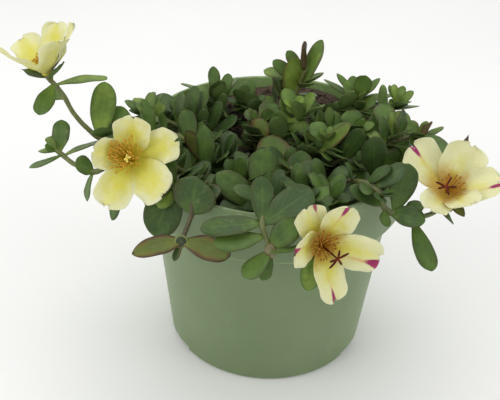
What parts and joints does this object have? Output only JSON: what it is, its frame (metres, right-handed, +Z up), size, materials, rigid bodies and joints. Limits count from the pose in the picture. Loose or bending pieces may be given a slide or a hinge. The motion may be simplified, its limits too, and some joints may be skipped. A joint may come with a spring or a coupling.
{
  "type": "potted portulaca plant",
  "caption": "Portulaca bedding plant with spreading fleshy stems, spoon-shaped leaves and open pale flowers, rooted in soil in a round tapered nursery pot with a deep collar.",
  "frame": {"origin": "centre of the pot's base, on the plane that it stands on", "axes": "+Z up along the pot's axis, -Y towards the side with the front flower, +X to its right"},
  "size_m": [0.2183, 0.1589, 0.1693],
  "materials": {
    "pot": "satin moulded polypropylene",
    "soil": "damp crumbly potting soil",
    "leaf": "fleshy satin leaf",
    "petal": "silky translucent petal",
    "stamen": "matte pollen",
    "pistil_red": "velvety",
    "pistil_yellow": "velvety"
  },
  "bodies": {
    "root": {"pot": "pot", "soil": "soil", "stem_far_left_bloom": "leaf", "stem_left_bloom": "leaf", "stem_left_sprig": "leaf", "stem_left_rim": "leaf", "stem_left_arching": "leaf", "stem_back_left": "leaf", "stem_back": "leaf", "stem_tall": "leaf", "stem_bright_centre": "leaf", "stem_back_right": "leaf", "stem_small_right": "leaf", "stem_right_back": "leaf", "stem_right_rim": "leaf", "stem_right_bloom": "leaf", "stem_front_bloom": "leaf", "stem_front": "leaf", "stem_front_left": "leaf", "stem_left_hanging": "leaf", "stem_pinched": "leaf", "stem_middle_left": "leaf", "stem_middle": "leaf", "stem_middle_right": "leaf", "stem_inner_tuft": "leaf", "stem_inner_round": "leaf", "stem_dark_right": "leaf", "stem_inner_left": "leaf", "stem_inner_dark": "leaf", "petals_far_left": "petal", "stamens_far_left": "stamen", "pistil_far_left": "pistil_yellow", "petals_left": "petal", "stamens_left": "stamen", "pistil_left": "pistil_yellow", "petals_front": "petal", "stamens_front": "stamen", "pistil_front": "pistil_red", "petals_right": "petal", "stamens_right": "stamen", "pistil_right": "pistil_red"}
  },
  "joints": []
}
